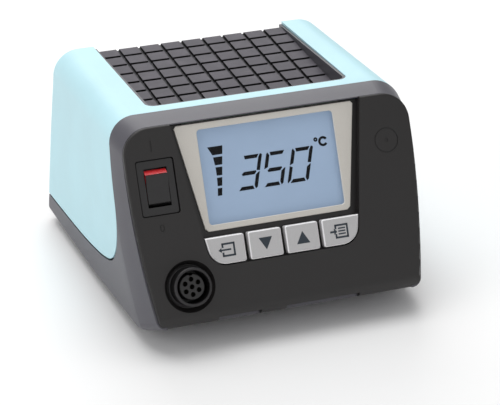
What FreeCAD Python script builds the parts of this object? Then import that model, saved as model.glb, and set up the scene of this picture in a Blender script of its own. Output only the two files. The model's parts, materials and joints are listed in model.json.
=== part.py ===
import FreeCAD, Part
import math
import os
import re
import Sketcher

# A bench soldering station: the power unit with its display, keys, mains switch and tool socket.
# Millimetres, +Z up, the front towards -Y, the origin on the bench under the middle of its box.
#
# Four frames are used. "station" is the part's own frame. "face" lies in the leaning front: its
# x runs across, its y up the face and its z out of it, from the middle of the display. "upright"
# has x across, y up and z towards the front. "side" has x towards the rear, y up and z across.

SIZES = {
    # Outer shape: three cross-sections joined by straight rulings.
    "face_lean": 25.2,
    "face_y": -47.85,
    "face_z": 71.25,
    "wall": 2.6,
    "section_corner": 12.5,
    "section_low": -66.0,
    "rim_depth": -1.5,
    "rim_half": 66.2,
    "rim_low_half": 60.6,
    "rim_top": 25.3,
    "rim_bulge": 390.0,
    "seam_depth": -13.0,
    "seam_half": 68.3,
    "seam_low_half": 65.3,
    "seam_top": 31.4,
    "seam_bulge": 345.0,
    "rear_y": 73.15,
    "rear_half": 67.4,
    "rear_low_half": 73.0,
    "rear_top": 87.1,
    "rear_bulge": 2000.0,
    "base_z": 3.0,
    "low_round": 4.2,
    "chin_low": -62.5,
    # The line between cover and housing, seen from the side.
    "tip_corner_z": 34.2,
    "tip_round": 26.9,
    "tip_fall": 16.7,
    "edge_rear_y": 80.0,
    "edge_rear_z": 13.7,
    "edge_front_y": -7.2,
    "edge_front_z": 21.7,
    "edge_front_bulge": 117.0,
    "edge_mid_y": 28.3,
    "edge_mid_z": 17.1,
    "edge_mid_bulge": 340.0,
    "edge_rear_bulge": 1500.0,
    # Tray and tile mat on top.
    "tray_front": -16.05,
    "tray_half": 47.4,
    "tray_corner": 4.6,
    "tray_slip": 0.12,
    "tray_lip": 1.3,
    "tray_floor_low": 81.1,
    "tray_floor": 83.1,
    "tray_lip_front_z": 93.4,
    "tray_lip_rear_z": 85.9,
    "tray_rear": 72.7,
    "mat_half": 45.9,
    "mat_front": -14.2,
    "mat_rear": 71.2,
    "mat_top": 85.7,
    "mat_round": 2.4,
    "mat_groove_deep": 1.5,
    "mat_groove": 1.7,
    "tile_pitch": 10.4,
    "row_groove_first": -12.1,
    # Front panel.
    "panel_front": 1.1,
    "panel_back": -1.4,
    "panel_half": 66.1,
    "panel_top": 25.1,
    "panel_corner": 12.3,
    "panel_low_half": 61.0,
    "panel_low_corner": 4.5,
    "panel_bulge": 390.0,
    "panel_edge_round": 1.0,
    "chin_round": 5.6,
    "chin_back": -4.8,
    "chin_half": 57.0,
    "chin_high": -56.5,
    "well_back": -5.4,
    "well_floor": -3.4,
    "well_top": 24.3,
    "well_wall": 2.2,
    "recess_top": 25.3,
    "recess_top_half": 44.9,
    "recess_low": -38.9,
    "recess_low_half": 34.05,
    "recess_round": 8.6,
    "relief_half": 47.3,
    "relief_top": 24.4,
    # Display.
    "bezel_top": 23.9,
    "bezel_top_half": 41.5,
    "bezel_low": -23.6,
    "bezel_low_half": 33.5,
    "bezel_front": -2.5,
    "bezel_corner": 1.3,
    "window_half": 31.5,
    "window_high": 20.95,
    "window_corner": 1.6,
    "pane_half": 32.5,
    "pane_high": 21.8,
    "pane_front": -3.45,
    "pane_back": -4.7,
    "lcd_half": 33.5,
    "lcd_high": 23.2,
    "lcd_front": -5.5,
    "lcd_back": -7.75,
    "light_back": -10.0,
    "holder_half": 36.0,
    "holder_high": 24.4,
    "board_front": -10.6,
    "board_back": -12.2,
    # Keys.
    "key_top": -26.1,
    "key_low": -38.3,
    "key_front": 1.45,
    "key_back": -2.4,
    "key_gap_half": 1.0,
    "key_mid_outer": 16.1,
    "key_end_inner": 18.1,
    "key_end_top_half": 35.65,
    "key_end_low_half": 33.55,
    "key_end_round": 8.0,
    "key_corner": 0.9,
    "key_bevel": 0.5,
    "key_mid_x": 8.55,
    "key_end_x": 26.4,
    "key_stem_y": -32.0,
    "stem_radius": 2.0,
    "stem_hole": 2.4,
    "stem_head": 2.9,
    "stem_head_top": -5.6,
    "stem_low": -6.5,
    # Mains switch.
    "switch_x": -53.05,
    "switch_y": -0.95,
    "switch_half": 8.4,
    "switch_high": 12.05,
    "switch_slip": 0.2,
    "switch_shelf": -0.6,
    "switch_front": 0.5,
    "switch_corner": 1.2,
    "switch_body_half": 6.5,
    "switch_body_high": 9.8,
    "switch_back": -20.0,
    "rocker_room_half": 5.2,
    "rocker_room_high": 8.45,
    "rocker_room_floor": -9.0,
    "rocker_half": 4.9,
    "rocker_pivot": -3.0,
    "rocker_rest": 7.0,
    "pin_radius": 1.2,
    "pin_hole": 1.25,
    "pin_reach": 6.2,
    # Tool socket.
    "socket_x": -45.2,
    "socket_y": -45.4,
    "socket_boss": 14.0,
    "socket_boss_back": -7.0,
    "dish_radius": 11.4,
    "dish_floor_radius": 9.5,
    "dish_floor": -2.2,
    "barrel_radius": 8.5,
    "barrel_bore": 7.2,
    "barrel_hole": 8.6,
    "barrel_front": 6.8,
    "barrel_back": -16.0,
    "insert_radius": 5.8,
    "insert_front": 4.2,
    "contact_ring": 3.35,
    "contact_hole": 1.1,
    # Back.
    "plate_inset": 2.9,
    "plate_in": 69.9,
    "plate_out": 72.1,
    "plate_top": 80.7,
    "inlet_x": 36.0,
    "inlet_z": 38.0,
    "jack_x": -42.0,
    "jack_z": 30.0,
    "jack_bore": 1.75,
    "jack_end": 76.782,
    # Posts and screws.
    "post_x": 57.0,
    "post_front_y": -12.0,
    "post_rear_y": 60.0,
    "post_radius": 4.8,
    "post_top": 45.0,
    "foot_radius": 6.5,
    "foot_x": 44.0,
    "foot_front_y": -36.0,
    "foot_rear_y": 62.0,
}


def corner_cut(before, corner, after, radius):
    """Gives the two points where an arc of this radius meets the sides of a corner."""
    back = FreeCAD.Vector(*before, 0) - FreeCAD.Vector(*corner, 0)
    ahead = FreeCAD.Vector(*after, 0) - FreeCAD.Vector(*corner, 0)
    reach = radius / math.tan(back.getAngle(ahead) / 2)
    start = FreeCAD.Vector(*corner, 0) + back.normalize() * reach
    end = FreeCAD.Vector(*corner, 0) + ahead.normalize() * reach
    return start, end


def add_derived_sizes():
    """Works out the tangent points of the large corners and adds them to the sheet."""
    lean = math.radians(SIZES["face_lean"])

    def seam_y(height):
        rise = (height - SIZES["face_z"]) * math.sin(lean)
        return SIZES["face_y"] + (rise - SIZES["seam_depth"]) / math.cos(lean)

    seam_high = 110.0
    tip_z = SIZES["tip_corner_z"]
    fall = math.radians(SIZES["tip_fall"])
    tip = (seam_y(tip_z), tip_z)
    behind = (tip[0] + math.cos(fall), tip[1] - math.sin(fall))
    on_seam, on_edge = corner_cut((seam_y(seam_high), seam_high), tip, behind, SIZES["tip_round"])
    SIZES.update(seam_high=seam_high, seam_high_y=seam_y(seam_high))
    SIZES.update(tip_seam_y=on_seam.x, tip_seam_z=on_seam.y, tip_edge_y=on_edge.x, tip_edge_z=on_edge.y)
    for name, top_half, top, low_half, low in (
        ("recess", "recess_top_half", "recess_top", "recess_low_half", "recess_low"),
        ("key_end", "key_end_top_half", "key_top", "key_end_low_half", "key_low"),
    ):
        corner = (SIZES[low_half], SIZES[low])
        on_low, on_side = corner_cut(
            (0, SIZES[low]), corner, (SIZES[top_half], SIZES[top]), SIZES[name + "_round"]
        )
        SIZES.update({name + "_bend_x": on_low.x, name + "_side_x": on_side.x, name + "_side_y": on_side.y})


add_derived_sizes()
os.makedirs("parts", exist_ok=True)
doc = FreeCAD.newDocument("soldering_station")
sheet = doc.addObject("Spreadsheet::Sheet", "Sizes")
for row, (alias, number) in enumerate(SIZES.items(), start=1):
    sheet.set(f"A{row}", alias)
    sheet.set(f"B{row}", f"{number:.5f}")
    sheet.setAlias(f"B{row}", alias)
doc.recompute()

PLAIN = FreeCAD.Placement()
FRAMES = {
    "station": PLAIN,
    "face": FreeCAD.Placement(
        FreeCAD.Vector(0, SIZES["face_y"], SIZES["face_z"]),
        FreeCAD.Rotation(FreeCAD.Vector(1, 0, 0), 90 - SIZES["face_lean"]),
    ),
    "upright": FreeCAD.Placement(FreeCAD.Vector(), FreeCAD.Rotation(FreeCAD.Vector(1, 0, 0), 90)),
    "side": FreeCAD.Placement(FreeCAD.Vector(), FreeCAD.Rotation(FreeCAD.Vector(1, 1, 1), 120)),
}


def moved(frame, x="0", y="0", z="0"):
    """Gives a frame's placement moved along its own axes."""
    return FRAMES[frame].multiply(
        FreeCAD.Placement(FreeCAD.Vector(amount(x), amount(y), amount(z)), FreeCAD.Rotation())
    )


# ---- Formulas: sums and products of sheet names and plain numbers, such as "panel_half - wall * 2"

def amount(formula):
    """Works a formula out as a number."""
    total = 0.0
    for sign, term in re.findall(r"([+-]?)\s*([^+\s-](?:\*\s*-|[^+-])*)", formula):
        product = -1.0 if sign == "-" else 1.0
        for factor in term.split("*"):
            word = factor.strip()
            product *= SIZES[word] if word in SIZES else float(word)
        total += product
    return total


def bound(formula):
    """Writes a formula as an expression on the sheet's cells."""
    return re.sub(r"[A-Za-z_]\w*", lambda name: "Sizes." + name.group(0), formula)


def minus(formula):
    """Turns every sign in a formula over."""
    turned_over = formula.translate(str.maketrans("+-", "-+"))
    return turned_over[1:] if formula.startswith("-") else "-" + turned_over


# ---- Sketches

def outline(sketch, points):
    """Draws a closed counter-clockwise outline whose corners and arcs follow the sheet.

    A point is (x, y), or (x, y, radius) when the edge to the next point is an arc: it bulges
    outwards for a positive radius and inwards for a negative one.
    """
    first = sketch.GeometryCount
    corners = [FreeCAD.Vector(amount(point[0]), amount(point[1]), 0) for point in points]
    ends = []
    for index, point in enumerate(points):
        here = corners[index]
        there = corners[(index + 1) % len(points)]
        if len(point) == 2:
            sketch.addGeometry(Part.LineSegment(here, there))
            ends.append((1, 2))
            continue
        radius = amount(point[2])
        chord = there - here
        left = FreeCAD.Vector(-chord.y, chord.x, 0).normalize()
        height = math.sqrt(max(radius**2 - chord.Length**2 / 4, 0.0))
        centre = here + chord * 0.5 + left * math.copysign(height, radius)
        start, stop = (here, there) if radius > 0 else (there, here)
        circle = Part.Circle(centre, FreeCAD.Vector(0, 0, 1), abs(radius))
        angles = [math.atan2(spot.y - centre.y, spot.x - centre.x) for spot in (start, stop)]
        edge = sketch.addGeometry(Part.ArcOfCircle(circle, *angles))
        ends.append((1, 2) if radius > 0 else (2, 1))
        limit = sketch.addConstraint(Sketcher.Constraint("Radius", edge, abs(radius)))
        sketch.setExpression(f"Constraints[{limit}]", f"abs({bound(point[2])})")
    for index, point in enumerate(points):
        after = (index + 1) % len(points)
        sketch.addConstraint(
            Sketcher.Constraint("Coincident", first + index, ends[index][1], first + after, ends[after][0])
        )
        for kind, formula in (("DistanceX", point[0]), ("DistanceY", point[1])):
            limit = sketch.addConstraint(
                Sketcher.Constraint(kind, -1, 1, first + index, ends[index][0], amount(formula))
            )
            sketch.setExpression(f"Constraints[{limit}]", bound(formula))


def ring(sketch, x, y, radius):
    """Draws a circle whose centre and radius follow the sheet."""
    place = FreeCAD.Vector(amount(x), amount(y), 0)
    edge = sketch.addGeometry(Part.Circle(place, FreeCAD.Vector(0, 0, 1), amount(radius)))
    for constraint, formula in (
        (("DistanceX", -1, 1, edge, 3, amount(x)), x),
        (("DistanceY", -1, 1, edge, 3, amount(y)), y),
        (("Radius", edge, amount(radius)), radius),
    ):
        limit = sketch.addConstraint(Sketcher.Constraint(*constraint))
        sketch.setExpression(f"Constraints[{limit}]", bound(formula))


def rectangle(left, right, low, high, corner=None):
    """Gives the outline of a rectangle, with round corners when a radius is given."""
    if corner is None:
        return [(left, low), (right, low), (right, high), (left, high)]
    return [
        (f"{left} + {corner}", low),
        (f"{right} - {corner}", low, corner),
        (right, f"{low} + {corner}"),
        (right, f"{high} - {corner}", corner),
        (f"{right} - {corner}", high),
        (f"{left} + {corner}", high, corner),
        (left, f"{high} - {corner}"),
        (left, f"{low} + {corner}", corner),
    ]


def centred(half_wide, half_high, corner=None):
    return rectangle(minus(half_wide), half_wide, minus(half_high), half_high, corner)


def draw(sketch, loops):
    """Draws outlines, given as lists of points, and circles, given as (x, y, radius) tuples."""
    for loop in loops:
        if isinstance(loop, tuple):
            ring(sketch, *loop)
        else:
            outline(sketch, loop)


def sketch_in(body, loops, depth="0", role="XY_Plane"):
    """Makes a sketch on one of a body's own planes, moved along the plane's normal."""
    sketch = body.newObject("Sketcher::SketchObject", body.Name + "_sketch")
    plane = next(item for item in body.Origin.OriginFeatures if item.Role == role)
    sketch.AttachmentSupport = [(plane, "")]
    sketch.MapMode = "FlatFace"
    sketch.setExpression("AttachmentOffset.Base.z", bound(depth))
    draw(sketch, loops)
    return sketch


# ---- Bodies and their features

def new_body(label, place):
    body = doc.addObject("PartDesign::Body", label)
    body.Placement = place
    return body


def pad(body, loops, low, high):
    """Fills the outlines from one height of the body's frame to another."""
    feature = body.newObject("PartDesign::Pad", body.Name + "_pad")
    feature.Profile = sketch_in(body, loops, low)
    feature.setExpression("Length", f"({bound(high)}) - ({bound(low)})")
    doc.recompute()
    return feature


def pocket(body, loops, low, high):
    """Cuts the outlines out of a body, from one height down to another."""
    before = body.Shape.Volume
    feature = body.newObject("PartDesign::Pocket", body.Name + "_pocket")
    feature.Profile = sketch_in(body, loops, high)
    feature.setExpression("Length", f"({bound(high)}) - ({bound(low)})")
    doc.recompute()
    if body.Shape.Volume >= before:
        raise RuntimeError(f"a pocket in {body.Label} cuts nothing")
    return feature


def dress(body, kind, size, chosen):
    """Rounds or bevels the edges of a body that a test on the edge chooses."""
    tip = body.Tip
    names = [f"Edge{number}" for number, edge in enumerate(tip.Shape.Edges, start=1) if chosen(edge)]
    feature = body.newObject("PartDesign::" + kind, f"{body.Name}_{kind.lower()}")
    feature.Base = (tip, names)
    feature.setExpression("Radius" if kind == "Fillet" else "Size", bound(size))
    doc.recompute()
    return feature


def at_height(level):
    """Chooses edges that lie in the plane at one height of the body's frame."""
    def chosen(edge):
        return all(abs(vertex.Z - amount(level)) < 1e-4 for vertex in edge.Vertexes)
    return chosen


def turned(label, place, profile):
    """Turns a profile of (radius, height) points about the frame's z axis."""
    body = new_body(label, place)
    feature = body.newObject("PartDesign::Revolution", label + "_turning")
    feature.Profile = sketch_in(body, [profile], "0", "XZ_Plane")
    feature.ReferenceAxis = (feature.Profile[0], ["V_Axis"])
    feature.Angle = 360
    doc.recompute()
    return body


def plate(label, loops, low, high, place):
    """Makes a body of one thickness."""
    body = new_body(label, place)
    pad(body, loops, low, high)
    return body


# ---- Plain solids, joined and cut

def box(label, x, y, z, frame="station"):
    """Makes a block from (low, high) formulas along the axes of a frame."""
    solid = doc.addObject("Part::Box", label)
    for side, span in zip(("Length", "Width", "Height"), (x, y, z)):
        solid.setExpression(side, f"({bound(span[1])}) - ({bound(span[0])})")
    solid.Placement = moved(frame, x[0], y[0], z[0])
    return solid


def rod(label, x, y, radius, low, high, frame="station"):
    """Makes a cylinder along the z axis of a frame."""
    solid = doc.addObject("Part::Cylinder", label)
    solid.setExpression("Radius", bound(radius))
    solid.setExpression("Height", f"({bound(high)}) - ({bound(low)})")
    solid.Placement = moved(frame, x, y, low)
    return solid


def fuse(label, *solids):
    joined = doc.addObject("Part::MultiFuse", label)
    joined.Shapes = list(solids)
    joined.Refine = True
    return joined


def group(label, *solids):
    """Keeps separate solids together in one node."""
    together = doc.addObject("Part::Compound", label)
    together.Links = list(solids)
    return together


def cut(label, base, *tools):
    difference = doc.addObject("Part::Cut", label)
    difference.Base = base
    difference.Tool = tools[0] if len(tools) == 1 else group(label + "_tools", *tools)
    return difference


def common(label, first, second):
    shared = doc.addObject("Part::Common", label)
    shared.Base = first
    shared.Tool = second
    return shared


pieces = []


def piece(solid, label=None):
    """Lists a finished sub-part. Its label names its file."""
    if label is not None:
        solid.Label = label
    pieces.append(solid)
    return solid


def screws(label, places, head_radius, head_low, head_high, shank_radius, shank_end, frame="station"):
    """Makes pan-head screws as one node: the shank runs from the head towards shank_end."""
    low, high = sorted((head_low, head_high), key=amount)
    downwards = amount(shank_end) < amount(low)
    shank = (shank_end, low) if downwards else (high, shank_end)
    slot_depth = 1.0
    slot = (f"{high} - {slot_depth}", high) if downwards else (low, f"{low} + {slot_depth}")
    solids = []
    for number, (x, y) in enumerate(places):
        name = f"{label}_{number}"
        blank = fuse(
            name + "_blank",
            rod(name + "_head", x, y, head_radius, low, high, frame),
            rod(name + "_shank", x, y, shank_radius, *shank, frame),
        )
        reach = amount(head_radius) * 0.6
        bars = [
            box(
                f"{name}_drive_{turn}",
                (f"{x} - {along}", f"{x} + {along}"),
                (f"{y} - {across}", f"{y} + {across}"),
                slot,
                frame,
            )
            for turn, (along, across) in enumerate(((reach, 0.35), (0.35, reach)))
        ]
        solids.append(cut(name, blank, fuse(name + "_drive", *bars)))
    return piece(group(label, *solids))


# ---- The outer shape, from which the housing and the cover are cut

def section(label, frame, depth, name, low, inset):
    """Draws one cross-section: bulging sides, round top corners, and a flat top."""
    half, low_half, top, bulge = (f"{name}_{word}" for word in ("half", "low_half", "top", "bulge"))
    corner = f"section_corner - {inset}"
    sketch = doc.addObject("Sketcher::SketchObject", label)
    outline(sketch, [
        (f"{inset} - {low_half}", low),
        (f"{low_half} - {inset}", low, bulge),
        (f"{half} - {inset}", f"{top} - section_corner", corner),
        (f"{half} - section_corner", f"{top} - {inset}"),
        (f"section_corner - {half}", f"{top} - {inset}", corner),
        (f"{inset} - {half}", f"{top} - section_corner", bulge),
    ])
    sketch.Placement = moved(frame, "0", "0", depth)
    return sketch


def hull(label, inset, front, rear, floor):
    """Joins the front rim, the seam and the rear by ruled surfaces, and cuts the underside flat."""
    rim = section(label + "_rim", "face", front, "rim", "section_low", inset)
    seam = section(label + "_seam", "face", "seam_depth", "seam", "section_low", inset)
    end = section(label + "_end", "upright", minus(rear), "rear", "0", inset)
    lofts = []
    for number, pair in enumerate(((rim, seam), (seam, end))):
        loft = doc.addObject("Part::Loft", f"{label}_loft_{number}")
        loft.Sections = list(pair)
        loft.Solid = True
        loft.Ruled = True
        lofts.append(loft)
    bench = box(label + "_bench", ("-90", "90"), ("-120", "120"), ("-60", f"base_z + {floor}"))
    bow = box(label + "_bow", ("-90", "90"), ("-140", f"chin_low + {floor}"), ("-30", "30"), "face")
    return cut(label, fuse(label + "_body", *lofts), fuse(label + "_under", bench, bow))


def cover_side(label):
    """Makes a block across the station that holds everything above the seam and the side edge."""
    sketch = doc.addObject("Sketcher::SketchObject", label + "_side")
    outline(sketch, [
        ("seam_high_y", "seam_high"),
        ("tip_seam_y", "tip_seam_z", "tip_round"),
        ("tip_edge_y", "tip_edge_z", "edge_front_bulge"),
        ("edge_front_y", "edge_front_z", "edge_mid_bulge"),
        ("edge_mid_y", "edge_mid_z", "edge_rear_bulge"),
        ("edge_rear_y", "edge_rear_z"),
        ("edge_rear_y", "seam_high"),
    ])
    sketch.Placement = FRAMES["side"]
    block = doc.addObject("Part::Extrusion", label)
    block.Base = sketch
    block.DirMode = "Custom"
    block.Dir = FreeCAD.Vector(1, 0, 0)
    block.LengthFwd = 180
    block.Symmetric = True
    block.Solid = True
    return block


def low_edges(solid):
    """Numbers the edges that run along the station on either side of its underside."""
    into_face = FRAMES["face"].inverse()
    chosen = []
    for number, edge in enumerate(solid.Shape.Edges, start=1):
        ends = [vertex.Point for vertex in edge.Vertexes]
        on_bench = all(abs(end.z - amount("base_z")) < 1e-3 for end in ends)
        on_bow = all(abs(into_face.multVec(end).y - amount("chin_low")) < 1e-3 for end in ends)
        if (on_bench or on_bow) and len(ends) == 2 and ends[0].x * ends[1].x > 0:
            chosen.append(number)
    return chosen


sharp = hull("sharp", "0", "rim_depth", "rear_y", "0")
doc.recompute()
outer = doc.addObject("Part::Fillet", "outer")
outer.Base = sharp
outer.Edges = [(number, amount("low_round"), amount("low_round")) for number in low_edges(sharp)]
room = hull("room", "wall", "rim_depth + 6", "rear_y + 5", "wall")
brow = box("brow", ("-90", "90"), ("rear_y - wall", "rear_y + 9"), ("plate_top + 0.3", "120"))
inner = cut("inner", room, brow)
shell = cut("shell", outer, inner)
above = cover_side("above")
above_gap = cover_side("above_gap")
EDGE_GAP = FreeCAD.Vector(0, -0.49, -0.84)
above_gap.Placement = FreeCAD.Placement(EDGE_GAP, FreeCAD.Rotation())

POSTS = [
    (side + "post_x", y) for y in ("post_front_y", "post_rear_y") for side in ("", "-")
]


def make_top_cover():
    opening = plate(
        "tray_opening",
        [rectangle("-tray_half", "tray_half", "tray_front", "rear_y + 20", "tray_corner")],
        "tray_floor_low - 0.3",
        "seam_high",
        PLAIN,
    )
    bosses = group("cover_bosses", *[
        rod(f"cover_boss_{number}", x, y, "post_radius - 0.8", "post_top + 0.3", "seam_high")
        for number, (x, y) in enumerate(POSTS)
    ])
    inside = common("cover_bosses_inside", bosses, outer)
    solid = fuse("cover_solid", common("cover_skin", shell, above), inside)
    pilots = [
        rod(f"cover_pilot_{number}", x, y, "1.55", "post_top", "post_top + 16")
        for number, (x, y) in enumerate(POSTS)
    ]
    piece(cut("top_cover", solid, opening, *pilots))


PANEL_SCREWS = [("59", "15.2"), ("-59", "15.2"), ("24", "-54.5"), ("-24", "-54.5")]
BOARD_POSTS = [(x, y) for y in ("-24", "38") for x in ("17", "47")]
BRACKET_SCREWS = [(x, y) for y in ("9", "55") for x in ("-48", "-6")]
PLATE_SCREWS = [("30", "11.5"), ("-30", "11.5")]
FEET = [(side + "foot_x", y) for y in ("foot_front_y", "foot_rear_y") for side in ("", "-")]


def make_lower_housing():
    """Bottom tray and front frame in one piece, with its posts, tabs and screw holes."""
    skin = cut("housing_skin", shell, above_gap)
    posts = [
        rod(f"housing_post_{number}", x, y, "post_radius", "base_z", "post_top")
        for number, (x, y) in enumerate(POSTS)
    ]
    posts += [
        rod(f"board_post_{number}", x, y, "3.2", "base_z + 1", "13.9")
        for number, (x, y) in enumerate(BOARD_POSTS)
    ]
    posts += [
        rod(f"bracket_post_{number}", x, y, "4", "base_z + 1", "7.9")
        for number, (x, y) in enumerate(BRACKET_SCREWS)
    ]
    tabs = [
        box("tab_right", ("55.2", "65.3"), ("11.4", "19"), ("-8", "well_back - 0.1"), "face"),
        box("tab_left", ("-65.3", "-55.2"), ("11.4", "19"), ("-8", "well_back - 0.1"), "face"),
        box("tab_low_right", ("20", "28"), ("-61.5", "-50.5"), ("-8", "well_back - 0.1"), "face"),
        box("tab_low_left", ("-28", "-20"), ("-61.5", "-50.5"), ("-8", "well_back - 0.1"), "face"),
    ]
    lugs = [
        box(f"plate_lug_{number}", (f"{x} - 4", f"{x} + 4"), ("60", "plate_in"), ("base_z + 1", "15.6"))
        for number, (x, z) in enumerate(PLATE_SCREWS)
    ]
    holes = [
        rod(f"post_bore_{number}", x, y, "1.8", "base_z - 1", "post_top + 1")
        for number, (x, y) in enumerate(POSTS)
    ]
    holes += [
        rod(f"post_head_{number}", x, y, "3.4", "base_z - 1", "base_z + 3.2")
        for number, (x, y) in enumerate(POSTS)
    ]
    holes += [rod(f"foot_hole_{number}", x, y, "2.2", "0", "9") for number, (x, y) in enumerate(FEET)]
    holes += [
        rod(f"board_pilot_{number}", x, y, "1.3", "8", "20") for number, (x, y) in enumerate(BOARD_POSTS)
    ]
    holes += [
        rod(f"bracket_pilot_{number}", x, y, "1.55", "4", "20")
        for number, (x, y) in enumerate(BRACKET_SCREWS)
    ]
    holes += [
        rod(f"tab_hole_{number}", x, y, "1.7", "-12", "-5", "face")
        for number, (x, y) in enumerate(PANEL_SCREWS)
    ]
    holes += [
        rod(f"plate_pilot_{number}", x, z, "1.3", "-plate_in", "-61", "upright")
        for number, (x, z) in enumerate(PLATE_SCREWS)
    ]
    relief = box("relief", ("-relief_half", "relief_half"), ("18", "relief_top"), ("-6.4", "3"), "face")
    chin_room = box(
        "chin_room",
        ("-chin_half - 0.2", "chin_half + 0.2"),
        ("chin_low - 3", "chin_high + 0.2"),
        ("chin_back - 0.2", "3"),
        "face",
    )
    solid = fuse("housing_solid", skin, *posts, *tabs, *lugs)
    piece(cut("lower_housing", solid, *holes, relief, chin_room))


def make_tray_and_mat():
    """The liner sunk in the cover, whose lip follows the cover's slope, and the tiled mat in it."""
    profile = doc.addObject("Sketcher::SketchObject", "tray_side")
    outline(profile, [
        ("tray_front + tray_slip", "tray_floor_low"),
        ("tray_rear", "tray_floor_low"),
        ("tray_rear", "tray_lip_rear_z"),
        ("tray_front + tray_slip", "tray_lip_front_z"),
    ])
    profile.Placement = FRAMES["side"]
    block = doc.addObject("Part::Extrusion", "tray_block")
    block.Base = profile
    block.DirMode = "Custom"
    block.Dir = FreeCAD.Vector(1, 0, 0)
    block.setExpression("LengthFwd", "(Sizes.tray_half - Sizes.tray_slip) * 2")
    block.Symmetric = True
    block.Solid = True
    side = "tray_half - tray_slip"
    footprint = plate(
        "tray_footprint",
        [rectangle(f"tray_slip - tray_half", side, "tray_front + tray_slip", "rear_y + 20", "tray_corner")],
        "60",
        "120",
        PLAIN,
    )
    inside = f"{side} - tray_lip"
    hollow = plate(
        "tray_hollow",
        [rectangle(minus(inside), inside, "tray_front + tray_lip", "rear_y + 20", "3.2")],
        "tray_floor",
        "120",
        PLAIN,
    )
    piece(cut("tray_insert", common("tray_outside", block, footprint), hollow))

    mat = plate(
        "tile_mat",
        [[
            ("mat_round - mat_half", "mat_front"),
            ("mat_half - mat_round", "mat_front", "mat_round"),
            ("mat_half", "mat_front + mat_round"),
            ("mat_half", "mat_rear"),
            ("-mat_half", "mat_rear"),
            ("-mat_half", "mat_front + mat_round", "mat_round"),
        ]],
        "tray_floor + 0.05",
        "mat_top",
        PLAIN,
    )

    def rear_top(edge):
        return at_height("mat_top")(edge) and all(
            abs(vertex.Y - amount("mat_rear")) < 1e-4 for vertex in edge.Vertexes
        )

    dress(mat, "Fillet", "mat_round", rear_top)
    floor = "mat_top - mat_groove_deep"
    groove_half = "mat_groove * 0.5"
    row_half = "mat_groove * 0.6"
    across = rectangle("-60", "60", f"row_groove_first - {row_half}", f"row_groove_first + {row_half}")
    along = rectangle(
        f"tile_pitch * -3.5 - {groove_half}", f"tile_pitch * -3.5 + {groove_half}", "-40", "90"
    )
    for loops, axis in ((across, "Y_Axis"), (along, "X_Axis")):
        groove = pocket(mat, [loops], floor, "mat_top")
        direction = next(item for item in mat.Origin.OriginFeatures if item.Role == axis)
        pattern = mat.newObject("PartDesign::LinearPattern", "mat_grooves_" + axis[0].lower())
        pattern.Originals = [groove]
        pattern.Direction = (direction, [""])
        pattern.Mode = "Extent"
        pattern.setExpression("Length", bound("tile_pitch * 7"))
        pattern.Occurrences = 8
        mat.Tip = pattern
        doc.recompute()
    piece(mat)


FACE_OUTLINE = [
    ("panel_low_corner - panel_low_half", "chin_low"),
    ("panel_low_half - panel_low_corner", "chin_low", "panel_low_corner"),
    ("panel_low_half", "chin_low + panel_low_corner", "panel_bulge"),
    ("panel_half", "panel_top - panel_corner", "panel_corner"),
    ("panel_half - panel_corner", "panel_top"),
    ("panel_corner - panel_half", "panel_top", "panel_corner"),
    ("-panel_half", "panel_top - panel_corner", "panel_bulge"),
    ("-panel_low_half", "chin_low + panel_low_corner", "panel_low_corner"),
]


def funnel(grow, top):
    """The recess that narrows towards the keys, grown on all sides."""
    side = f"recess_side_x + {grow}"
    return [
        ("-recess_bend_x", f"recess_low - {grow}"),
        ("recess_bend_x", f"recess_low - {grow}", f"recess_round + {grow}"),
        (side, "recess_side_y"),
        (f"recess_top_half + {grow}", top),
        (f"-recess_top_half - {grow}", top),
        (f"-recess_side_x - {grow}", "recess_side_y", f"recess_round + {grow}"),
    ]


KEYS = {"exit": "-key_end_x", "down": "-key_mid_x", "up": "key_mid_x", "menu": "key_end_x"}
DISPLAY_SCREWS = [("39.2", "23.2"), ("-39.2", "23.2"), ("31.4", "-38.2"), ("-28.5", "-38.2")]


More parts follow.
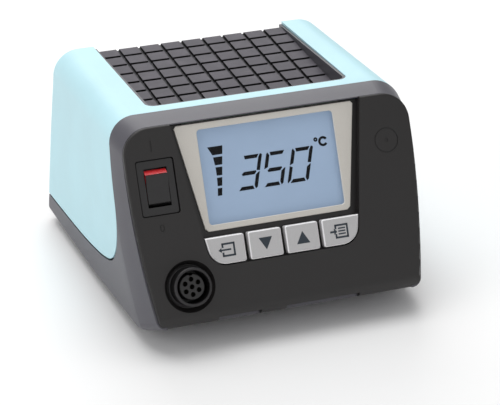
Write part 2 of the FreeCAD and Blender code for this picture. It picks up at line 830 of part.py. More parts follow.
def make_front_panel():
    body = new_body("panel_body", FRAMES["face"])
    pad(body, [FACE_OUTLINE], "panel_back", "panel_front")
    pad(body, [rectangle("-chin_half", "chin_half", "chin_low", "chin_high")], "chin_back", "panel_back")
    pad(body, [funnel("well_wall", "well_top")], "well_back", "panel_back")
    pad(body, [("socket_x", "socket_y", "socket_boss")], "socket_boss_back", "panel_back")
    pad(body, [(x, y, "3") for x, y in PANEL_SCREWS], "well_back", "panel_back")
    pad(body, [(x, y, "2.6") for x, y in DISPLAY_SCREWS], "board_front", "well_back")
    dress(body, "Fillet", "panel_edge_round", at_height("panel_front"))
    pocket(body, [funnel("0", "recess_top + 6")], "well_floor", "panel_front + 4")
    pane_hole = centred("pane_half + 0.1", "pane_high + 0.1", "window_corner")
    pocket(body, [pane_hole], "well_back - 1", "well_floor")
    pocket(body, [(x, "key_stem_y", "stem_hole") for x in KEYS.values()], "well_back - 1", "well_floor")
    pocket(body, [("socket_x", "socket_y", "barrel_hole")], "socket_boss_back - 1", "panel_front + 1")
    pocket(body, [switch_outline("switch_half + switch_slip", "switch_high + switch_slip", "switch_corner")],
           "switch_shelf", "panel_front + 1")
    pocket(body, [switch_outline("switch_body_half + 0.1", "switch_body_high + 0.1")], "well_back - 1", "1")
    pocket(body, [(x, y, "1.15") for x, y in DISPLAY_SCREWS], "board_front - 1", "board_front + 4.6")
    pocket(body, [(x, y, "1.3") for x, y in PANEL_SCREWS], "well_back - 1", "well_back + 4.4")
    mark = "panel_front - 0.3"
    pocket(body, [rectangle("-54.1", "-53.4", "14.7", "19.3")], mark, "panel_front + 1")
    oval = rectangle("-54.7", "-52.7", "-20.2", "-17", "0.95")
    middle = rectangle("-54.2", "-53.2", "-19.7", "-17.5", "0.45")
    pocket(body, [oval, middle, ("53.5", "4.4", "5.6"), ("53.5", "4.4", "5.1")], mark, "panel_front + 1")
    pocket(body, [("53.5", "4.4", "0.9")], mark, "panel_front + 1")

    cone = doc.addObject("Part::Cone", "dish")
    cone.setExpression("Radius1", "Sizes.dish_floor_radius")
    cone.setExpression("Radius2", "Sizes.dish_radius")
    cone.setExpression("Height", "Sizes.panel_front - Sizes.dish_floor")
    cone.Placement = moved("face", "socket_x", "socket_y", "dish_floor")
    low = "chin_low + chin_round"
    front = "panel_front - chin_round"
    corner = box("chin_corner", ("-80", "80"), ("chin_low - 2", low), (front, "panel_front + 2"), "face")
    roll = doc.addObject("Part::Cylinder", "chin_roll")
    roll.setExpression("Radius", "Sizes.chin_round")
    roll.Height = 200
    roll.Placement = moved("face", "-100", low, front).multiply(
        FreeCAD.Placement(FreeCAD.Vector(), FreeCAD.Rotation(FreeCAD.Vector(0, 1, 0), 90))
    )
    chin_cut = cut("chin_cut", corner, roll)
    grip_rise = ("chin_low - 1", "chin_low + 1.7")
    grips = [
        box(f"grip_{number}", span, grip_rise, ("chin_back - 1", "panel_front"), "face")
        for number, span in enumerate((("-33.7", "-14"), ("-2.4", "31.9")))
    ]
    piece(cut("front_panel", body, cone, chin_cut, *grips))


def switch_outline(half, high, corner=None):
    """A rectangle about the middle of the mains switch."""
    return rectangle(f"switch_x + {minus(half)}", f"switch_x + {half}",
                     f"switch_y + {minus(high)}", f"switch_y + {high}", corner)


def make_display():
    face = FRAMES["face"]
    bezel = new_body("display_bezel", face)
    pad(bezel, [
        [
            ("bezel_corner - bezel_low_half", "bezel_low"),
            ("bezel_low_half - bezel_corner", "bezel_low"),
            ("bezel_low_half + 0.3", "bezel_low + bezel_corner"),
            ("bezel_top_half", "bezel_top - 1.2"),
            ("bezel_top_half - 1", "bezel_top"),
            ("1 - bezel_top_half", "bezel_top"),
            ("-bezel_top_half", "bezel_top - 1.2"),
            ("-bezel_low_half - 0.3", "bezel_low + bezel_corner"),
        ],
        centred("window_half", "window_high", "window_corner"),
    ], "well_floor", "bezel_front")
    dress(bezel, "Chamfer", "0.2", at_height("bezel_front"))
    piece(bezel)
    piece(plate("display_window", [centred("pane_half", "pane_high", "window_corner")],
                "pane_back", "pane_front", face))
    piece(plate("lcd_glass", [centred("lcd_half", "lcd_high")], "lcd_back", "lcd_front", face))
    piece(plate("lcd_backlight", [centred("lcd_half - 0.3", "lcd_high - 0.4")],
                "light_back", "lcd_back - 0.05", face))
    piece(plate(
        "lcd_holder",
        [centred("holder_half", "holder_high"), centred("lcd_half + 0.2", "lcd_high + 0.2")],
        "board_front + 0.05", "well_back - 0.05", face,
    ))
    board = new_body("display_board", face)
    pad(board, [[
        ("-32.5", "-41.3"), ("42", "-41.3"), ("42", "26.6"),
        ("-42", "26.6"), ("-42", "-32.5"), ("-32.5", "-32.5"),
    ]], "board_back", "board_front")
    pocket(board, [(x, y, "1.35") for x, y in DISPLAY_SCREWS], "board_back - 1", "board_front + 1")
    piece(board)
    screws("display_board_screws", DISPLAY_SCREWS, "2.3", "board_back - 1.8", "board_back", "1.1",
           "board_front + 4", "face")
    domes = []
    for name, x in KEYS.items():
        span = (f"{x} - 3", f"{x} + 3")
        base = box(f"switch_base_{name}", span, ("key_stem_y - 3", "key_stem_y + 3"),
                   ("board_front", "-8.4"), "face")
        plunger = rod(f"switch_plunger_{name}", x, "key_stem_y", "1.6", "-8.4", "-7.3", "face")
        domes.append(fuse(f"key_switch_{name}", base, plunger))
    piece(group("key_switches", *domes))
    piece(rod("beeper", "30", "8", "6", "board_back - 5", "board_back", "face"))


def make_keys():
    """Four key caps: the outer two follow the slanted recess. Each has a stem with a snap head."""
    middle = rectangle("key_gap_half", "key_mid_outer", "key_low", "key_top", "key_corner")
    end = [
        ("key_end_inner + key_corner", "key_low"),
        ("key_end_bend_x", "key_low", "key_end_round"),
        ("key_end_side_x", "key_end_side_y"),
        ("key_end_top_half", "key_top"),
        ("key_end_inner + key_corner", "key_top", "key_corner"),
        ("key_end_inner", "key_top - key_corner"),
        ("key_end_inner", "key_low + key_corner", "key_corner"),
    ]

    def mirrored(points):
        """Turns an outline over to the left side, and keeps it counter-clockwise."""
        return [
            (minus(points[index][0]), points[index][1], *points[index - 1][2:])
            for index in range(len(points) - 1, -1, -1)
        ]

    outlines = {"exit": mirrored(end), "down": mirrored(middle), "up": middle, "menu": end}
    for name, x in KEYS.items():
        body = new_body("key_" + name, FRAMES["face"])
        pad(body, [outlines[name]], "key_back", "key_front")
        dress(body, "Chamfer", "key_bevel", at_height("key_front"))
        pad(body, [(x, "key_stem_y", "stem_radius")], "stem_head_top", "key_back")
        pad(body, [(x, "key_stem_y", "stem_head")], "stem_low", "stem_head_top")
        piece(body)


def make_switch():
    body = new_body("switch_frame", FRAMES["face"])
    pad(body, [switch_outline("switch_half", "switch_high", "switch_corner")],
        "switch_shelf", "switch_front")
    pad(body, [switch_outline("switch_body_half", "switch_body_high")], "switch_back", "switch_shelf")
    dress(body, "Fillet", "0.4", at_height("switch_front"))
    pocket(body, [switch_outline("rocker_room_half", "rocker_room_high")],
           "rocker_room_floor", "switch_front + 1")
    axle_place = moved("face", "switch_x - 7", "switch_y", "rocker_pivot").multiply(
        FreeCAD.Placement(FreeCAD.Vector(), FreeCAD.Rotation(FreeCAD.Vector(0, 1, 0), 90))
    )
    axle_hole = doc.addObject("Part::Cylinder", "axle_hole")
    axle_hole.setExpression("Radius", "Sizes.pin_hole")
    axle_hole.Height = 14
    axle_hole.Placement = axle_place
    body.Label = "switch_frame_body"
    piece(cut("switch_frame_cut", body, axle_hole), "switch_frame")

    tilted = moved("face", "switch_x", "switch_y", "rocker_pivot").multiply(
        FreeCAD.Placement(
            FreeCAD.Vector(), FreeCAD.Rotation(FreeCAD.Vector(1, 0, 0), SIZES["rocker_rest"])
        )
    ).multiply(FRAMES["side"])
    block = new_body("rocker_block", tilted)
    pad(block, [[
        ("-4.5", "-3"), ("4.5", "-3"), ("7", "-1"), ("8", "1.5"), ("6.35", "3.66"), ("0", "2.9"),
        ("-5.75", "3.6"), ("-7.1", "1.35"), ("-7", "-1"),
    ]], "-rocker_half", "rocker_half")
    pad(block, [("0", "0", "pin_radius")], "-pin_reach", "pin_reach")
    piece(block, "switch_rocker")
    cap = plate("rocker_cap", [[
        ("0", "2.9"), ("6.35", "3.66"), ("6.2", "4.56"), ("0", "3.8"), ("-6.2", "4.56"), ("-8", "1.5"),
        ("-7.1", "1.35"), ("-5.75", "3.6"),
    ]], "-rocker_half", "rocker_half", tilted)
    piece(cap)

    blades = []
    for number, (x, y) in enumerate((("-3.2", "6"), ("3.2", "6"), ("-3.2", "-3"), ("3.2", "-3"))):
        blades.append(box(
            f"blade_{number}",
            (f"switch_x + {x} - 0.4", f"switch_x + {x} + 0.4"),
            (f"switch_y + {y} - 2.4", f"switch_y + {y} + 2.4"),
            ("switch_back - 7", "switch_back"),
            "face",
        ))
    piece(group("switch_terminals", *blades))


def make_socket():
    """Seven-pole tool socket: barrel with a flange in the dish, insulator, contacts, nut and board."""
    place = moved("face", "socket_x", "socket_y")
    piece(turned("socket_shell", place, [
        ("barrel_bore", "barrel_back"),
        ("barrel_radius", "barrel_back"),
        ("barrel_radius", "dish_floor"),
        ("9.2", "dish_floor"),
        ("9.2", "dish_floor + 1"),
        ("barrel_radius", "dish_floor + 1.4"),
        ("barrel_radius", "barrel_front - 0.5"),
        ("barrel_radius - 0.4", "barrel_front"),
        ("barrel_bore + 0.2", "barrel_front"),
        ("barrel_bore", "barrel_front - 0.3"),
    ]))
    insert = turned("socket_insert", place, [
        ("0", "-15"),
        ("barrel_bore", "-15"),
        ("barrel_bore", "-6"),
        ("insert_radius", "-6"),
        ("insert_radius", "insert_front - 0.4"),
        ("insert_radius - 0.4", "insert_front"),
        ("0", "insert_front"),
    ])
    spots = [("0", "0")]
    for number in range(6):
        angle = math.radians(60 * number + 30)
        spots.append((f"contact_ring * {math.cos(angle):.4f}", f"contact_ring * {math.sin(angle):.4f}"))
    pocket(insert, [(x, y, "contact_hole") for x, y in spots], "-16", "insert_front + 1")
    pocket(insert, [rectangle("-0.8", "0.8", "insert_radius - 0.9", "insert_radius + 1")], "-5.9",
           "insert_front + 1")
    piece(insert)
    tubes = plate("socket_contacts", [(x, y, "contact_hole - 0.03") for x, y in spots], "-18", "-1.5", place)
    pocket(tubes, [(x, y, "0.55") for x, y in spots], "-7.5", "-1.5")
    piece(tubes)
    nut = plate("socket_nut", [
        [(f"12.6 * {math.cos(math.radians(60 * k)):.4f}", f"12.6 * {math.sin(math.radians(60 * k)):.4f}")
         for k in range(6)],
        ("0", "0", "barrel_radius + 0.02"),
    ], "socket_boss_back - 3", "socket_boss_back", place)
    piece(nut)
    piece(plate("socket_board", [("0", "0", "9")], "-19.6", "-18", place))


def make_back():
    """Rear plate with its vents, the mains inlet with its fuse drawer, and the bonding jack."""
    fit = hull("plate_fit", "plate_inset", "rim_depth + 6", "rear_y + 5", "plate_inset")
    slab = box("plate_slab", ("-90", "90"), ("plate_in", "plate_out"), ("base_z + wall + 0.3", "plate_top"))
    vents = [
        box(f"vent_{k}", (f"{x - 1.3:.2f}", f"{x + 1.3:.2f}"), ("60", "80"), ("24", "56"))
        for k, x in enumerate(-22 + 5.2 * k for k in range(7))
    ]
    holes = [
        box("inlet_hole", ("inlet_x - 13.6", "inlet_x + 13.6"), ("60", "80"),
            ("inlet_z - 15.6", "inlet_z + 15.6")),
        rod("jack_hole", "jack_x", "jack_z", "3.1", "-80", "-60", "upright"),
    ]
    holes += [
        rod(f"plate_hole_{k}", x, z, "1.6", "-80", "-60", "upright") for k, (x, z) in enumerate(PLATE_SCREWS)
    ]
    piece(cut("rear_panel", common("plate_blank", slab, fit), *vents, *holes))
    screws("rear_panel_screws", PLATE_SCREWS, "2.8", "-plate_out - 1.8", "-plate_out", "1.25",
           "-62.5", "upright")

    place = moved("upright", "inlet_x", "inlet_z")
    inlet = new_body("mains_inlet", place)
    pad(inlet, [rectangle("-16", "16", "-18", "18", "2")], "-plate_out - 2.5", "-plate_out")
    pad(inlet, [rectangle("-13.5", "13.5", "-15.5", "15.5")], "-plate_out", "-50")
    cavity = [
        ("-12.2", "-3"), ("12.2", "-3"), ("12.2", "9"), ("7.8", "13.6"), ("-7.8", "13.6"), ("-12.2", "9"),
    ]
    deep = new_body("inlet_cavity", place)
    pad(deep, [cavity], "-plate_out - 4", "-57")
    pad(deep, [rectangle("-11.9", "11.9", "-14.4", "-6.2")], "-plate_out - 4", "-53")
    pin_places = ((-7.0, 3.3), (7.0, 3.3), (0.0, 7.3))
    slots = [
        box(f"pin_slot_{k}", (f"inlet_x + {x - 1:.2f}", f"inlet_x + {x + 1:.2f}"), ("45", "60"),
            (f"inlet_z + {z - 2:.2f}", f"inlet_z + {z + 2:.2f}"))
        for k, (x, z) in enumerate(pin_places)
    ]
    inlet.Label = "inlet_block"
    piece(cut("inlet_finished", inlet, deep, *slots), "mains_inlet")
    pins = [
        box(f"inlet_pin_{k}", (f"inlet_x + {x - 0.98:.2f}", f"inlet_x + {x + 0.98:.2f}"), ("44", "72"),
            (f"inlet_z + {z - 1.98:.2f}", f"inlet_z + {z + 1.98:.2f}"))
        for k, (x, z) in enumerate(pin_places)
    ]
    piece(group("inlet_pins", *pins))

    drawer = new_body("fuse_drawer", place)
    pad(drawer, [rectangle("-11.6", "11.6", "-14.1", "-6.5")], "-plate_out - 2.6", "-57.5")
    room_for_fuses = [
        box("fuse_room", ("inlet_x - 10.6", "inlet_x + 10.6"), ("58.6", "70.4"),
            ("inlet_z - 13.1", "inlet_z - 6")),
        box("fuse_pull", ("inlet_x - 4", "inlet_x + 4"), ("73.2", "76"), ("inlet_z - 11", "inlet_z - 9.6")),
    ]
    drawer.Label = "drawer_block"
    piece(cut("drawer_finished", drawer, *room_for_fuses), "fuse_drawer")
    links = []
    for k, y in enumerate(("61.5", "67.3")):
        link = doc.addObject("Part::Cylinder", f"fuse_{k}")
        link.Radius = 2.6
        link.Height = 20
        link.Placement = FreeCAD.Placement(
            FreeCAD.Vector(amount("inlet_x - 10"), amount(y), amount("inlet_z - 10.4")),
            FreeCAD.Rotation(FreeCAD.Vector(0, 1, 0), 90),
        )
        links.append(link)
    piece(group("fuse_links", *links))

    jack = moved("upright", "jack_x", "jack_z")
    piece(turned("bonding_jack", jack, [
        ("jack_bore", "-jack_end"),
        ("2.6", "-jack_end"),
        ("3", "0.4 - jack_end"),
        ("3", "-plate_out - 1.5"),
        ("5.4", "-plate_out - 1.5"),
        ("5.4", "-plate_out"),
        ("3", "-plate_out"),
        ("3", "-58"),
        ("0", "-58"),
        ("0", "-62"),
        ("jack_bore", "-62"),
    ]))
    piece(plate("bonding_nut", [
        [(f"5.2 * {math.cos(math.radians(60 * k)):.4f}", f"5.2 * {math.sin(math.radians(60 * k)):.4f}")
         for k in range(6)],
        ("0", "0", "3.02"),
    ], "-plate_in", "-67.4", jack))


def make_transformer():
    """Laminated core with a winding on its middle leg, in a folded steel bracket."""
    stack = box("core_stack", ("-60", "6"), ("16", "48"), ("9", "64"))
    windows = [
        box("core_window_left", ("-49", "-38"), ("0", "60"), ("20", "53")),
        box("core_window_right", ("-16", "-5"), ("0", "60"), ("20", "53")),
    ]
    piece(cut("transformer_core", stack, *windows))
    coil = box("coil", ("-48.7", "-5.3"), ("6.5", "57.5"), ("20.3", "52.7"))
    leg = box("coil_leg", ("-38.1", "-15.9"), ("15.9", "48.1"), ("0", "80"))
    piece(cut("transformer_winding", coil, leg))
    base = box("bracket_base", ("-62.2", "8.2"), ("16", "48"), ("8", "9"))
    ears = [
        box("bracket_ear_front", ("-51.5", "0"), ("4.5", "16"), ("8", "9")),
        box("bracket_ear_rear", ("-51.5", "0"), ("48", "59.5"), ("8", "9")),
    ]
    sides = [
        box("bracket_left", ("-62.2", "-60.1"), ("16", "48"), ("8", "40")),
        box("bracket_right", ("6.1", "8.2"), ("16", "48"), ("8", "40")),
    ]
    holes = [rod(f"bracket_hole_{k}", x, y, "1.9", "0", "20") for k, (x, y) in enumerate(BRACKET_SCREWS)]
    piece(cut("transformer_bracket", fuse("bracket_blank", base, *ears, *sides), *holes))
    screws("transformer_screws", BRACKET_SCREWS, "3", "11", "9", "1.5", "4.4")


def make_main_board():
    """Control board on posts, with its heat sink, triac, capacitors, relay and connectors."""
    board = plate("main_board", [rectangle("13", "51", "-28", "48", "1.5")], "14", "15.6", PLAIN)
    pocket(board, [(x, y, "1.5") for x, y in BOARD_POSTS], "10", "18")
    piece(board)
    screws("main_board_screws", BOARD_POSTS, "2.6", "17.4", "15.6", "1.25", "9")
    fins = [
        box(f"fin_{k}", ("42.5", "50"), (f"{y:.1f}", f"{y + 1.6:.1f}"), ("15.7", "44"))
        for k, y in enumerate(-8 + 5.4 * k for k in range(6))
    ]
    spine = box("fin_spine", ("40", "42.6"), ("-8", "20.6"), ("15.7", "44"))
    piece(fuse("heat_sink", spine, *fins))
    tab = box("triac_tab", ("38.7", "39.95"), ("1", "11"), ("22", "38"))
    chip = box("triac_body", ("35.4", "38.7"), ("1", "11"), ("22", "31"))
    legs = [
        box(f"triac_leg_{k}", ("36.6", "37.2"), (f"{y:.2f}", f"{y + 0.8:.2f}"), ("15.65", "22"))
        for k, y in enumerate((3.06, 5.6, 8.14))
    ]
    piece(fuse("power_triac", tab, chip, *legs))
    piece(group("capacitors", *[
        rod(f"capacitor_{k}", x, y, radius, "15.7", top)
        for k, (x, y, radius, top) in enumerate((
            ("23", "-10", "6.3", "36"), ("23", "6", "6.3", "36"), ("33", "-17", "4", "27"),
        ))
    ]))
    piece(box("board_relay", ("16", "31"), ("18", "34.5"), ("15.7", "31")))
    piece(group(
        "board_connectors",
        box("header_front", ("20", "44"), ("-27", "-21.5"), ("15.7", "24")),
        box("header_rear", ("34", "48"), ("26", "34"), ("15.7", "26")),
        box("header_display", ("19", "41"), ("-24", "-18"), ("board_back - 6", "board_back"), "face"),
    ))


def make_ribbon():
    """Flat cable from the control board's front header up to the back of the display board."""
    path = doc.addObject("Sketcher::SketchObject", "ribbon_side")
    outline(path, [
        ("-24.8", "24.1"), ("-23.8", "24.1"), ("-23.8", "38.5"), ("-38.9", "45.6"), ("-39.3", "44.7"),
        ("-24.8", "37.8"),
    ])
    path.Placement = FRAMES["side"]
    strip = doc.addObject("Part::Extrusion", "ribbon_strip")
    strip.Base = path
    strip.DirMode = "Custom"
    strip.Dir = FreeCAD.Vector(1, 0, 0)
    strip.LengthFwd = 20
    strip.Symmetric = True
    strip.Solid = True
    strip.Placement = FreeCAD.Placement(FreeCAD.Vector(32, 0, 0), FreeCAD.Rotation())
    piece(strip, "ribbon_cable")


def make_underside():
    screws("cover_screws", POSTS, "3", "base_z + 0.4", "base_z + 3.1", "1.5", "post_top + 14")
    feet = []
    for number, (x, y) in enumerate(FEET):
        foot = turned(f"foot_{number}", moved("station", x, y), [
            ("0", "0"),
            ("foot_radius - 0.8", "0"),
            ("foot_radius", "0.8"),
            ("foot_radius", "base_z"),
            ("2.1", "base_z"),
            ("2.1", "base_z + 2.4"),
            ("0", "base_z + 2.4"),
        ])
        feet.append(foot)
    piece(group("rubber_feet", *feet))
    piece(plate("rating_plate", [rectangle("-27", "27", "-6", "26", "2")], "base_z - 0.4", "base_z", PLAIN))


def make_panel_screws():
    screws("panel_screws", PANEL_SCREWS, "2.9", "-9.9", "-8", "1.25", "-1.8", "face")


def check_and_export():
    """Recomputes everything, refuses a failed object, and writes one file for each piece."""
    doc.recompute()
    failed = [item.Label for item in doc.Objects if {"Invalid", "Error"} & set(item.State)]
    if failed:
        raise RuntimeError(f"failed objects: {failed}")
    for item in pieces:
        shape = item.Shape
        if shape.isNull() or not shape.isValid() or not shape.Solids:
            raise RuntimeError(f"{item.Label} has no valid shape")
        shape.exportStep(f"parts/{item.Label}.step")
        print(f"{item.Label}: {len(shape.Solids)} solid(s), {shape.Volume / 1000:.2f} cm3")
    whole = Part.makeCompound([item.Shape for item in pieces]).BoundBox
    print(f"{len(pieces)} nodes, box {whole}")


make_top_cover()
make_lower_housing()
make_tray_and_mat()
make_front_panel()
make_display()
make_keys()
make_switch()
make_socket()
make_back()
make_transformer()
make_main_board()
make_ribbon()
make_underside()
make_panel_screws()
check_and_export()
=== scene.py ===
# %% [markdown]
# # Looks for a bench soldering station
#
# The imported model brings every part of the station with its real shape, so this script adds what
# a moulded or sawn part can't show by itself: the grain of the plastics, the brushed and plated
# metals, the symbols printed on the keys, the figures in the display and the light around it all.
# Lengths are metres, +Z is up and the front faces -Y.

# %% Load the frame
import json
import math
import bpy
import numpy as np
from mathutils import Matrix, Vector


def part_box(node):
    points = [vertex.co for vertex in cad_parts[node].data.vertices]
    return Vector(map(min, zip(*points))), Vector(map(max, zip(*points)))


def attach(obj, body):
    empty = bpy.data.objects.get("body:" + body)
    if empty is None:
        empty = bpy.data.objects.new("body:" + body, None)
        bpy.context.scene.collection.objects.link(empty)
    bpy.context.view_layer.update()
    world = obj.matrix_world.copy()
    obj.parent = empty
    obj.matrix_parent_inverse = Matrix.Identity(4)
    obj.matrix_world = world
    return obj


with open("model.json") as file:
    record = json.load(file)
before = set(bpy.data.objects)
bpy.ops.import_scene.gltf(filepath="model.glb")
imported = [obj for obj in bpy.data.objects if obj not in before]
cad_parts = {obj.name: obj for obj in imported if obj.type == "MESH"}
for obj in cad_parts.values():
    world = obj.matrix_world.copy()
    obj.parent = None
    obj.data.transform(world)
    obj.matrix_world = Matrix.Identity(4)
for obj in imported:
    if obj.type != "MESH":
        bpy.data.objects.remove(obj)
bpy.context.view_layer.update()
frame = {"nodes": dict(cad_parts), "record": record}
nodes = frame["nodes"]
MM = 0.001

# %% [markdown]
# ## Directions on the leaning front
#
# The display, keys, switch and tool socket lie in a front that leans back. The tool socket's
# mount states the direction out of that front, and the display window gives a place on it, so a
# point there is worked out from three numbers: across, up the face, and out of the face.

# %% The face's axes and its middle
mounts = {mount["name"]: mount for mount in frame["record"]["mounts"]}
OUT = np.array(mounts["tool_socket"]["axis"], dtype=float)
OUT /= np.linalg.norm(OUT)
ACROSS = np.array([1.0, 0.0, 0.0])
UP = np.cross(OUT, ACROSS)


def node_points(name):
    """A node's vertices as an array, one row each."""
    mesh = nodes[name].data
    flat = np.empty(len(mesh.vertices) * 3)
    mesh.vertices.foreach_get("co", flat)
    return flat.reshape(-1, 3)


def extent(name, axis):
    """Lowest and highest reach of a node along a direction."""
    reach = node_points(name) @ axis
    return reach.min(), reach.max()


def middle(name, *axes):
    """The point half-way along a node's extent on each of the three face axes."""
    return sum(axis * sum(extent(name, axis)) / 2 for axis in axes)


WINDOW_MIDDLE = middle("display_window", ACROSS, UP, OUT)
FACE = WINDOW_MIDDLE - OUT * (WINDOW_MIDDLE @ OUT)
LCD_TOP = extent("lcd_glass", OUT)[1]
KEY_TOP = extent("key_up", OUT)[1]
PANEL_TOP = extent("front_panel", OUT)[1]


def on_face(across, up, level):
    """Rows of points from arrays in millimetres across and up the face, at a level along OUT."""
    across, up = np.atleast_1d(across), np.atleast_1d(up)
    return (FACE + np.outer(across * MM, ACROSS) + np.outer(up * MM, UP)
            + np.asarray(level).reshape(-1, 1) * OUT)


print("lean:", math.degrees(math.asin(UP[1])), "levels:", LCD_TOP, KEY_TOP, PANEL_TOP)

# %% [markdown]
# ## Writing shaders as expressions
#
# A shader network is arithmetic on values that change over the surface. One small class wraps a
# socket and overloads the operators, so a formula reads as a formula, and one method adds any
# other node. Numbers that are the same everywhere stay on the shader's own sockets.

# %% A socket with arithmetic, and a finish
class Signal:
    """A value that changes over the surface. Arithmetic on it adds Math nodes."""

    def __init__(self, finish, socket):
        self.finish = finish
        self.socket = socket

    def math(self, operation, *others, flip=False):
        values = [self, *others]
        if flip:
            values.reverse()
        return self.finish.node("ShaderNodeMath", {"operation": operation}, dict(enumerate(values)))

    def __add__(self, other):
        return self.math("ADD", other)

    __radd__ = __add__

    def __mul__(self, other):
        return self.math("MULTIPLY", other)

    __rmul__ = __mul__

    def __sub__(self, other):
        return self.math("SUBTRACT", other)

    def __rsub__(self, other):
        return self.math("SUBTRACT", other, flip=True)

    def __pow__(self, other):
        return self.math("POWER", other)

    def __gt__(self, other):
        return self.math("GREATER_THAN", other)

    def step(self, low, high):
        """Rises smoothly from 0 below low to 1 above high."""
        settings = {"interpolation_type": "SMOOTHSTEP"}
        values = {"Value": self, "From Min": low, "From Max": high}
        return self.finish.node("ShaderNodeMapRange", settings, values)


class Finish:
    """A material whose nodes are added by calls."""

    def __init__(self, name, **constants):
        self.material = bpy.data.materials.new(name)
        self.material.use_nodes = True
        self.tree = self.material.node_tree
        self.tree.nodes.clear()
        self.output = self.tree.nodes.new("ShaderNodeOutputMaterial")
        self.shader = self.tree.nodes.new("ShaderNodeBsdfPrincipled")
        self.tree.links.new(self.shader.outputs[0], self.output.inputs["Surface"])
        for key, value in constants.items():
            self.shader.inputs[key.replace("_", " ")].default_value = value
        place = self.tree.nodes.new("ShaderNodeTexCoord")
        self.place = Signal(self, place.outputs["Object"])
        self.normal = None

    def node(self, kind, settings=None, values=None, result=0):
        """Adds a node: its settings first, then the values or links of its sockets."""
        made = self.tree.nodes.new(kind)
        for key, value in (settings or {}).items():
            if key == "stops":
                self.ramp_stops(made.color_ramp, value)
            else:
                setattr(made, key, value)
        for key, value in (values or {}).items():
            socket = made.inputs[key]
            if isinstance(value, Signal):
                self.tree.links.new(value.socket, socket)
            else:
                socket.default_value = value
        return Signal(self, made.outputs[result])

    @staticmethod
    def ramp_stops(ramp, stops):
        while len(ramp.elements) < len(stops):
            ramp.elements.new(0.5)
        for element, (position, colour) in zip(ramp.elements, stops):
            element.position = position
            element.color = (*colour, 1.0)

    def noise(self, size, detail=3.0, rough=0.55, stretch=(1, 1, 1)):
        """Cloudy values about 0.5, with features of a size in metres, stretched along the axes."""
        scale = [1 / (size * s) for s in stretch]
        spot = self.node("ShaderNodeMapping", {}, {"Vector": self.place, "Scale": scale})
        values = {"Vector": spot, "Scale": 1.0, "Detail": detail, "Roughness": rough}
        return self.node("ShaderNodeTexNoise", {}, values)

    def cells(self, size):
        """Distance to the nearest of scattered points that are about a size in metres apart."""
        return self.node("ShaderNodeTexVoronoi", {}, {"Vector": self.place, "Scale": 1 / size})

    def mix(self, factor, first, second):
        """Mixes two colours."""
        first, second = ((*c, 1.0) if isinstance(c, tuple) else c for c in (first, second))
        values = {0: factor, 6: first, 7: second}
        return self.node("ShaderNodeMix", {"data_type": "RGBA"}, values, result=2)

    def feed(self, **signals):
        """Links signals into the shader: colour, roughness, metallic, coat, alpha or emission."""
        for key, value in signals.items():
            self.tree.links.new(value.socket, self.shader.inputs[key.replace("_", " ")])
        return self

    def along(self, axis):
        """Distance from the origin along an axis, in metres."""
        settings = {"operation": "DOT_PRODUCT"}
        return self.node("ShaderNodeVectorMath", settings, {0: self.place, 1: axis.tolist()}, result=1)

    def bump(self, height, depth):
        """Bends the shading by a height of 0 to 1 for a depth in metres, on top of earlier bumps."""
        values = {"Height": height, "Distance": depth, "Strength": 1.0}
        if self.normal is not None:
            values["Normal"] = self.normal
        self.normal = self.node("ShaderNodeBump", {}, values)
        self.tree.links.new(self.normal.socket, self.shader.inputs["Normal"])


def linear(red, green, blue):
    """A screen colour of 0 to 255 as the linear light values that a shader takes."""
    shares = (red / 255, green / 255, blue / 255)
    return tuple(((c + 0.055) / 1.055) ** 2.4 if c > 10 / 255 else c / 12.92 for c in shares)


def shade(colour, by):
    """The same colour, lighter or darker."""
    return tuple(min(1.0, c * by) for c in colour)


def dress(finish, *names):
    """Gives CAD nodes a finish."""
    for name in names:
        mesh = nodes[name].data
        mesh.materials.clear()
        mesh.materials.append(finish.material)
    print(finish.material.name, "on", ", ".join(names))


# %% [markdown]
# ## Moulded plastics
#
# The housing, cover and panel are injection moulded. The mould is spark eroded, which leaves a
# very fine, even grain, and handling wears that grain a little smoother in soft patches. A fine
# noise gives the grain its height, a wide one moves colour and gloss by a few per cent. The
# housing's sides bend where its front frame begins. For a distance d from that bend, the shading
# height 1 - (1 - d / reach)^3 turns the normals towards each other, so that the bend looks rolled.

# %% Moulded plastic
def moulded(name, colour, rough, grain=0.00028, depth=0.00002, tone=0.05, gloss=0.1):
    """Spark-eroded plastic: wide patches move the tone and the gloss, a fine grain the normal."""
    finish = Finish(name, Specular_IOR_Level=0.45)
    patches = finish.noise(0.035, 4.0)
    fine = finish.noise(grain, 2.0, 0.7)
    specks = finish.cells(grain * 1.4)
    drift = patches.step(0.3, 0.7)
    finish.feed(
        Base_Color=finish.mix(drift, shade(colour, 1 - tone), shade(colour, 1 + tone)),
        Roughness=rough + (patches - 0.5) * gloss + (fine - 0.5) * 0.12,
    )
    finish.bump(fine * 0.6 + specks * 0.4, depth)
    return finish


TURQUOISE = linear(190, 229, 238)
GREY = linear(84, 83, 90)
NEAR_BLACK = linear(32, 30, 30)
cover_finish = moulded("moulded_turquoise", TURQUOISE, 0.46, tone=0.025)
housing_finish = moulded("moulded_grey", GREY, 0.42, tone=0.05)
panel_finish = moulded("moulded_near_black", NEAR_BLACK, 0.44, tone=0.06)
SEAM = extent("top_cover", OUT)[1]
ROLL_REACH, ROLL_TURN = 9 * MM, math.radians(8)
from_seam = (housing_finish.along(OUT) - SEAM).math("ABSOLUTE") * (1 / ROLL_REACH)
flat_share = 1.0 - from_seam.math("MINIMUM", 1.0)
housing_finish.bump(1.0 - flat_share ** 3, math.tan(ROLL_TURN) * ROLL_REACH / 3)
dress(cover_finish, "top_cover")
dress(housing_finish, "lower_housing", "rear_panel")
dress(panel_finish, "front_panel")

# %% [markdown]
# The tray's liner is the same plastic with a smoother face, and the switch, inlet and socket
# insert are black plastics with more gloss.

